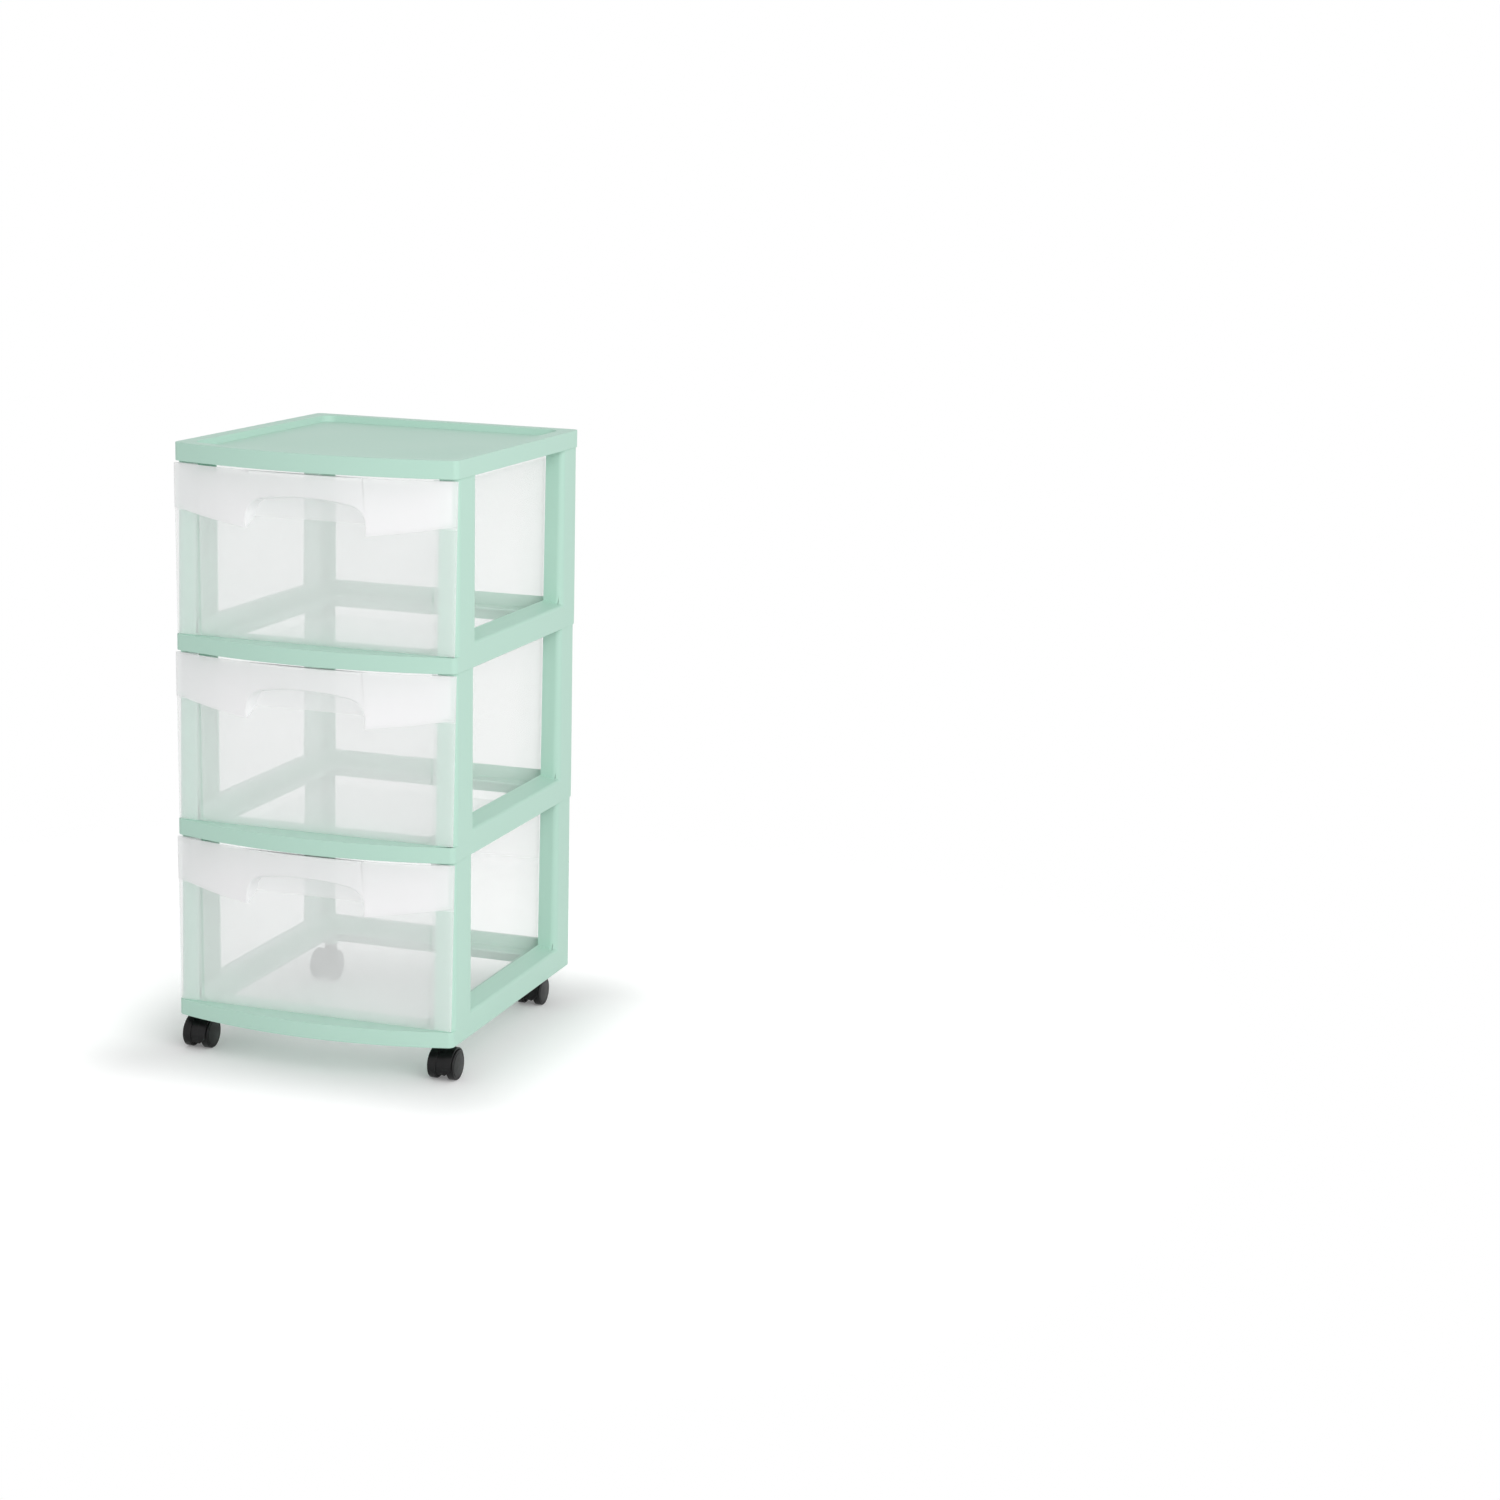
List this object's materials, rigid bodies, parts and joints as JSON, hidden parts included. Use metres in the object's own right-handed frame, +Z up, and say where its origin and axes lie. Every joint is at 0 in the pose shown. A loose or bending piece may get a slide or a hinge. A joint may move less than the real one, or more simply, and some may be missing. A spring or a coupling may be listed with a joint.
{
  "type": "plastic drawer tower",
  "caption": "Rolling storage tower of stacked open-sided plastic frames, with see-through bow-front drawers that slide out, a tray top and twin-wheel swivel casters.",
  "frame": {"origin": "on the floor, under the middle of the tower's bounding box", "axes": "+X to the right seen from the drawers' fronts, +Y to the rear, +Z up"},
  "size_m": [0.316, 0.37, 0.653],
  "materials": {
    "mint_plastic": "satin moulded polypropylene, coloured mint green all through",
    "clear_plastic": "see-through moulded polypropylene, slightly milky, frosted on the front band",
    "black_nylon": "satin moulded nylon",
    "steel": "bright zinc plated"
  },
  "bodies": {
    "tower": {"top_cover": "mint_plastic", "frame_top": "mint_plastic", "frame_middle": "mint_plastic", "frame_bottom": "mint_plastic", "grip_rings": "steel", "stem_front_left": "steel", "stem_front_right": "steel", "stem_rear_left": "steel", "stem_rear_right": "steel"},
    "drawer_top": {"drawer_top": "clear_plastic"},
    "drawer_middle": {"drawer_middle": "clear_plastic"},
    "drawer_bottom": {"drawer_bottom": "clear_plastic"},
    "swivel_front_left": {"hood_front_left": "black_nylon", "axle_front_left": "steel"},
    "wheel_left_front_left": {"wheel_left_front_left": "black_nylon"},
    "wheel_right_front_left": {"wheel_right_front_left": "black_nylon"},
    "swivel_front_right": {"hood_front_right": "black_nylon", "axle_front_right": "steel"},
    "wheel_left_front_right": {"wheel_left_front_right": "black_nylon"},
    "wheel_right_front_right": {"wheel_right_front_right": "black_nylon"},
    "swivel_rear_left": {"hood_rear_left": "black_nylon", "axle_rear_left": "steel"},
    "wheel_left_rear_left": {"wheel_left_rear_left": "black_nylon"},
    "wheel_right_rear_left": {"wheel_right_rear_left": "black_nylon"},
    "swivel_rear_right": {"hood_rear_right": "black_nylon", "axle_rear_right": "steel"},
    "wheel_left_rear_right": {"wheel_left_rear_right": "black_nylon"},
    "wheel_right_rear_right": {"wheel_right_rear_right": "black_nylon"}
  },
  "joints": [
    {"name": "slide_top", "type": "slide", "parent": "tower", "child": "drawer_top", "axis": [0, -1, 0], "range_m": [0, 0.25]},
    {"name": "slide_middle", "type": "slide", "parent": "tower", "child": "drawer_middle", "axis": [0, -1, 0], "range_m": [0, 0.25]},
    {"name": "slide_bottom", "type": "slide", "parent": "tower", "child": "drawer_bottom", "axis": [0, -1, 0], "range_m": [0, 0.25]},
    {"name": "swivel_front_left", "type": "hinge", "parent": "tower", "child": "swivel_front_left", "pos_m": [-0.142, -0.129, 0.036], "axis": [0, 0, 1], "continuous": true},
    {"name": "roll_left_front_left", "type": "hinge", "parent": "swivel_front_left", "child": "wheel_left_front_left", "pos_m": [-0.152, -0.1395, 0.016], "axis": [1, 0, 0], "continuous": true},
    {"name": "roll_right_front_left", "type": "hinge", "parent": "swivel_front_left", "child": "wheel_right_front_left", "pos_m": [-0.132, -0.1395, 0.016], "axis": [1, 0, 0], "continuous": true},
    {"name": "swivel_front_right", "type": "hinge", "parent": "tower", "child": "swivel_front_right", "pos_m": [0.142, -0.129, 0.036], "axis": [0, 0, 1], "continuous": true},
    {"name": "roll_left_front_right", "type": "hinge", "parent": "swivel_front_right", "child": "wheel_left_front_right", "pos_m": [0.132, -0.1395, 0.016], "axis": [1, 0, 0], "continuous": true},
    {"name": "roll_right_front_right", "type": "hinge", "parent": "swivel_front_right", "child": "wheel_right_front_right", "pos_m": [0.152, -0.1395, 0.016], "axis": [1, 0, 0], "continuous": true},
    {"name": "swivel_rear_left", "type": "hinge", "parent": "tower", "child": "swivel_rear_left", "pos_m": [-0.128, 0.155, 0.036], "axis": [0, 0, 1], "continuous": true},
    {"name": "roll_left_rear_left", "type": "hinge", "parent": "swivel_rear_left", "child": "wheel_left_rear_left", "pos_m": [-0.138, 0.1445, 0.016], "axis": [1, 0, 0], "continuous": true},
    {"name": "roll_right_rear_left", "type": "hinge", "parent": "swivel_rear_left", "child": "wheel_right_rear_left", "pos_m": [-0.118, 0.1445, 0.016], "axis": [1, 0, 0], "continuous": true},
    {"name": "swivel_rear_right", "type": "hinge", "parent": "tower", "child": "swivel_rear_right", "pos_m": [0.128, 0.155, 0.036], "axis": [0, 0, 1], "continuous": true},
    {"name": "roll_left_rear_right", "type": "hinge", "parent": "swivel_rear_right", "child": "wheel_left_rear_right", "pos_m": [0.118, 0.1445, 0.016], "axis": [1, 0, 0], "continuous": true},
    {"name": "roll_right_rear_right", "type": "hinge", "parent": "swivel_rear_right", "child": "wheel_right_rear_right", "pos_m": [0.138, 0.1445, 0.016], "axis": [1, 0, 0], "continuous": true}
  ]
}
